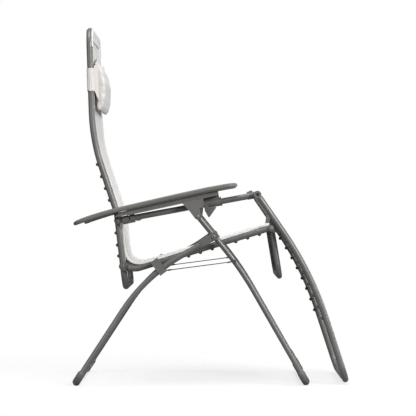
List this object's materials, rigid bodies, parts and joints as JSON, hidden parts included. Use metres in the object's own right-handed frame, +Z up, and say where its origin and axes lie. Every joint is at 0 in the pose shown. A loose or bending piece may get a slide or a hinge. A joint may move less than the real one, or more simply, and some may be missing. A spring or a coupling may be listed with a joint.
{
  "type": "zero gravity recliner",
  "caption": "Folding recliner with crossed tube legs, coupled back, seat and legrest, a mesh sling, sliding armrests with lock levers and a headrest pillow.",
  "frame": {"origin": "centre of the bounding box's floor outline, on the floor", "axes": "+X towards the sitter's front, +Y to the sitter's left, +Z up"},
  "size_m": [0.8832, 0.6914, 1.1509],
  "materials": {
    "frame_paint": "semi-gloss warm grey powder coat",
    "plastic": "satin warm grey",
    "zinc": "zinc plated",
    "cable": "coated wire",
    "sling": "off-white woven mesh",
    "pillow": "light grey woven mesh"
  },
  "bodies": {
    "rear_legs": {"rear_leg_frame": "frame_paint", "rear_leg_glides": "plastic", "leg_pivot_rivets": "zinc", "leg_bracket_right": "plastic", "leg_bracket_left": "plastic", "leg_clamp_right": "plastic", "leg_clamp_left": "plastic", "stay_cable_right": "cable", "stay_cable_left": "cable"},
    "front_legs": {"front_leg_frame": "frame_paint", "front_leg_glides": "plastic"},
    "seat_pins": {"seat_pivot_pins": "zinc"},
    "seat": {"seat_tube_right": "frame_paint", "seat_tube_left": "frame_paint", "seat_sling": "sling", "seat_clips": "plastic"},
    "back_pins": {"back_pivot_pins": "zinc", "lumbar_sling": "sling"},
    "back": {"back_frame": "frame_paint", "back_top_bar": "frame_paint", "back_sling": "sling", "back_clips": "plastic"},
    "headrest": {"headrest_pillow": "pillow", "headrest_straps": "pillow"},
    "knee_pins": {"knee_pivot_pins": "zinc", "knee_sling": "sling"},
    "legrest": {"legrest_frame": "frame_paint", "legrest_end_rings": "plastic", "knee_bar": "frame_paint", "leg_sling": "sling", "leg_clips": "plastic"},
    "arm_pins": {"arm_pivot_pins": "zinc"},
    "arms": {"arm_tube_right": "frame_paint", "arm_tube_left": "frame_paint", "arm_knuckle_right": "plastic", "arm_knuckle_left": "plastic", "knuckle_rivets": "zinc", "rear_saddle_right": "plastic", "rear_saddle_left": "plastic"},
    "guide_bushes": {"guide_bush_right": "plastic", "guide_bush_left": "plastic"},
    "armrests": {"guide_housing_right": "plastic", "guide_housing_left": "plastic", "guide_bolts": "zinc", "armrest_pad_right": "plastic", "armrest_pad_left": "plastic", "pad_rail_right": "plastic", "pad_rail_left": "plastic"},
    "lever_right": {"lock_lever_right": "plastic"},
    "lever_left": {"lock_lever_left": "plastic"}
  },
  "joints": [
    {"name": "leg_fold", "type": "hinge", "parent": "rear_legs", "child": "front_legs", "pos_m": [0.0089, 0, 0.4751], "axis": [0, -1, 0], "range_deg": [-70, 0]},
    {"name": "seat_recline", "type": "hinge", "parent": "rear_legs", "child": "seat_pins", "pos_m": [-0.1749, 0, 0.3908], "axis": [0, -1, 0], "range_deg": [0, 12.02]},
    {"name": "seat_fold", "type": "hinge", "parent": "seat_pins", "child": "seat", "pos_m": [-0.1749, 0, 0.3908], "axis": [0, -1, 0], "range_deg": [0, 16.21]},
    {"name": "recline", "type": "hinge", "parent": "seat", "child": "back_pins", "pos_m": [-0.2824, 0, 0.3791], "axis": [0, -1, 0], "range_deg": [0, 26.17]},
    {"name": "back_fold", "type": "hinge", "parent": "back_pins", "child": "back", "pos_m": [-0.2824, 0, 0.3791], "axis": [0, -1, 0], "range_deg": [-72.02, 0]},
    {"name": "legrest_recline", "type": "hinge", "parent": "seat", "child": "knee_pins", "pos_m": [0.1943, 0, 0.5031], "axis": [0, -1, 0], "range_deg": [0, 40.56]},
    {"name": "legrest_fold", "type": "hinge", "parent": "knee_pins", "child": "legrest", "pos_m": [0.1943, 0, 0.5031], "axis": [0, -1, 0], "range_deg": [-78.17, 0]},
    {"name": "arm_recline", "type": "hinge", "parent": "back", "child": "arm_pins", "pos_m": [-0.2996, 0, 0.5253], "axis": [0, -1, 0], "range_deg": [-30.33, 0]},
    {"name": "arm_fold", "type": "hinge", "parent": "arm_pins", "child": "arms", "pos_m": [-0.2996, 0, 0.5253], "axis": [0, -1, 0], "range_deg": [0, 77.88]},
    {"name": "guide_recline", "type": "slide", "parent": "arms", "child": "guide_bushes", "axis": [0.983, 0, 0.1836], "range_m": [0, 0.09095]},
    {"name": "guide_fold", "type": "slide", "parent": "guide_bushes", "child": "armrests", "axis": [0.983, 0, 0.1836], "range_m": [-0.02293, 0]},
    {"name": "lever_right_turn", "type": "hinge", "parent": "armrests", "child": "lever_right", "pos_m": [-0.01497, -0.2885, 0.55914], "axis": [0, 1, 0], "range_deg": [0, 40]},
    {"name": "lever_left_turn", "type": "hinge", "parent": "armrests", "child": "lever_left", "pos_m": [-0.01497, 0.2885, 0.55914], "axis": [0, 1, 0], "range_deg": [0, 40]},
    {"name": "headrest_slide", "type": "slide", "parent": "back", "child": "headrest", "axis": [-0.0333, 0, 0.9994], "range_m": [-0.06, 0.035]}
  ],
  "couplings": [
    {"joint": "seat_recline", "follows": "recline", "ratio": 0.45856},
    {"joint": "legrest_recline", "follows": "recline", "ratio": 1.549},
    {"joint": "arm_recline", "follows": "recline", "ratio": -1.1584},
    {"joint": "guide_recline", "follows": "recline", "m_per_rad": 0.19892},
    {"joint": "seat_fold", "follows": "leg_fold", "ratio": -0.23127},
    {"joint": "back_fold", "follows": "leg_fold", "ratio": 1.0286},
    {"joint": "legrest_fold", "follows": "leg_fold", "ratio": 1.1164},
    {"joint": "arm_fold", "follows": "leg_fold", "ratio": -1.1123},
    {"joint": "guide_fold", "follows": "leg_fold", "m_per_rad": 0.018688}
  ]
}
